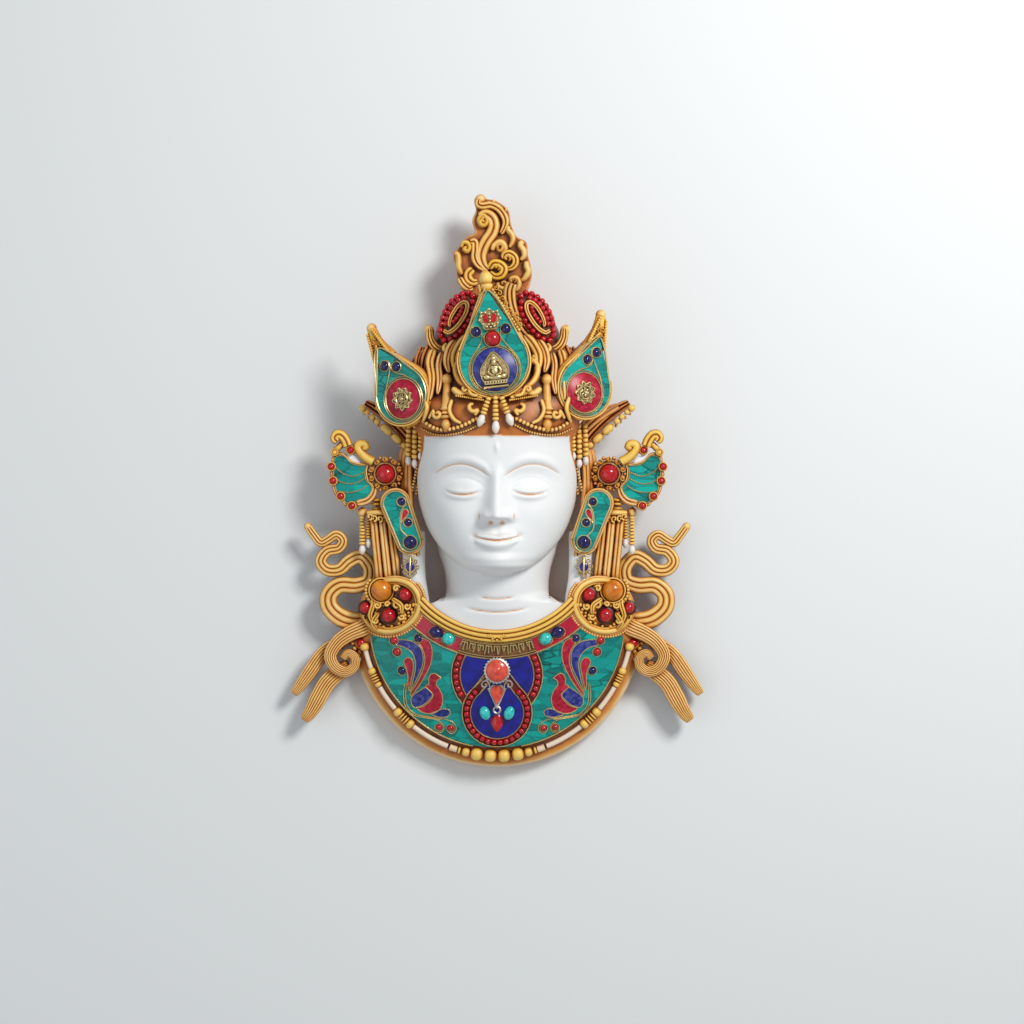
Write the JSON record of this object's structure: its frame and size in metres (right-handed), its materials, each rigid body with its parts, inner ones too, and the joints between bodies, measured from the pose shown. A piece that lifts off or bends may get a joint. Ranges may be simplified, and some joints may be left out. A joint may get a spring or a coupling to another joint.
{
  "type": "crowned bodhisattva wall mask",
  "caption": "Hollow wall mask of a calm crowned Himalayan deity with a flame finial, leaf crown, ear ornaments, curling scarves and a jewelled bib collar set with turquoise, coral and lapis.",
  "frame": {"origin": "middle of the flat back, where the mask lies on its back", "axes": "+Y from the collar to the tip of the crown, +Z out of the face, +X to the right as it is looked at"},
  "size_m": [0.289, 0.4, 0.0952],
  "materials": {
    "resin": "cast resin painted cream and gold-yellow over an ochre-brown wash, satin",
    "white_paint": "matt white paint on the face, neck and ear lobes, with ochre in the creases",
    "gold_paint": "gold-yellow paint on the raised beads and scrolls, satin",
    "turquoise": "crushed turquoise inlay with a fine dark matrix, polished",
    "coral": "coral-red stone and crushed coral inlay, polished",
    "lapis": "dark blue lapis with fine gold flecks, polished",
    "amber": "amber-coloured cabochon, polished",
    "brass": "brass wire and stamped brass, lightly tarnished in the hollows",
    "silver": "silver-coloured filigree, tarnished in the hollows"
  },
  "bodies": {
    "root": {"cast_mask": "resin", "collar_plaque": "brass", "collar_lapis_round": "lapis", "collar_lapis_drop": "lapis", "collar_corals_drop": "coral", "pendant_mount": "silver", "centre_leaf_turquoise": "turquoise", "centre_leaf_lapis": "lapis", "centre_leaf_figure": "brass", "centre_leaf_cabochon": "coral", "centre_leaf_crownlet": "brass", "left_leaf_turquoise": "turquoise", "left_leaf_coral": "coral", "left_leaf_emblem": "brass", "left_ear_cabochon": "coral", "left_wing_turquoise": "turquoise", "left_ear_plug_turquoise": "turquoise", "left_ear_plug_lapis": "lapis", "left_vajra": "brass", "left_brooch_amber": "amber", "left_brooch_coral_inner": "coral", "left_brooch_coral_lower": "coral", "left_brooch_coral_outer": "coral", "left_pendant_coral": "coral", "left_collar_lapis": "lapis", "left_collar_turquoise": "turquoise", "collar_turquoise_left": "turquoise", "collar_red_band_left": "coral", "collar_corals_left": "coral", "left_hair_corals": "coral", "right_leaf_turquoise": "turquoise", "right_leaf_coral": "coral", "right_leaf_emblem": "brass", "right_ear_cabochon": "coral", "right_wing_turquoise": "turquoise", "right_ear_plug_turquoise": "turquoise", "right_ear_plug_lapis": "lapis", "right_vajra": "brass", "right_brooch_amber": "amber", "right_brooch_coral_inner": "coral", "right_brooch_coral_lower": "coral", "right_brooch_coral_outer": "coral", "right_pendant_coral": "coral", "right_collar_lapis": "lapis", "right_collar_turquoise": "turquoise", "collar_turquoise_right": "turquoise", "collar_red_band_right": "coral", "collar_corals_right": "coral", "right_hair_corals": "coral"}
  },
  "joints": []
}
